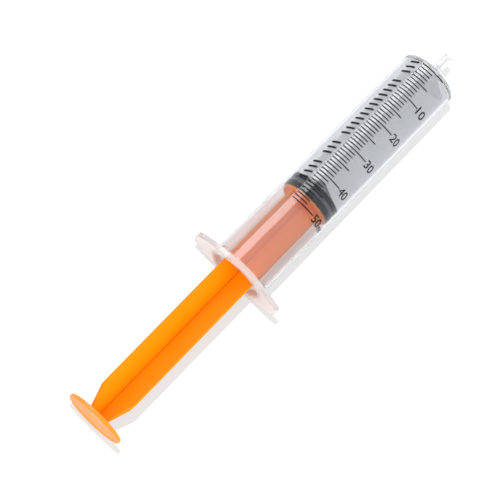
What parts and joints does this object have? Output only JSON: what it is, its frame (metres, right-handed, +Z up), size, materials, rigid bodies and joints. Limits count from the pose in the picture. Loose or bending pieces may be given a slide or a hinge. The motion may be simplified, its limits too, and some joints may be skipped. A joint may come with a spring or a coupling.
{
  "type": "oral syringe",
  "caption": "Oral syringe lying on its side: clear barrel with finger flange and printed millilitre scale, ribbed orange plunger rod with thumb disc, dark rubber stopper, plain nozzle.",
  "frame": {"origin": "centre of the nozzle's mouth, on the syringe's axis", "axes": "+X along the axis from the thumb disc towards the nozzle, Y along the finger flange, +Z up through the printed scale; the syringe lies on its side"},
  "size_m": [0.2395, 0.05, 0.0326],
  "materials": {
    "clear_plastic": "clear, slightly milky polypropylene, glossy",
    "rubber": "smooth, slightly oily",
    "orange_plastic": "solid orange, satin moulded",
    "ink": "black screen print"
  },
  "bodies": {
    "barrel": {"barrel": "clear_plastic", "scale_lines": "ink"},
    "stopper": {"stopper": "rubber"},
    "plunger_rod": {"plunger_rod": "orange_plastic"}
  },
  "joints": [
    {"name": "stopper_slide", "type": "slide", "parent": "barrel", "child": "stopper", "axis": [1, 0, 0], "range_m": [-0.04187, 0.07733]},
    {"name": "rod_turn", "type": "hinge", "parent": "stopper", "child": "plunger_rod", "pos_m": [-0.10032, 0, 0], "axis": [1, 0, 0], "continuous": true}
  ]
}
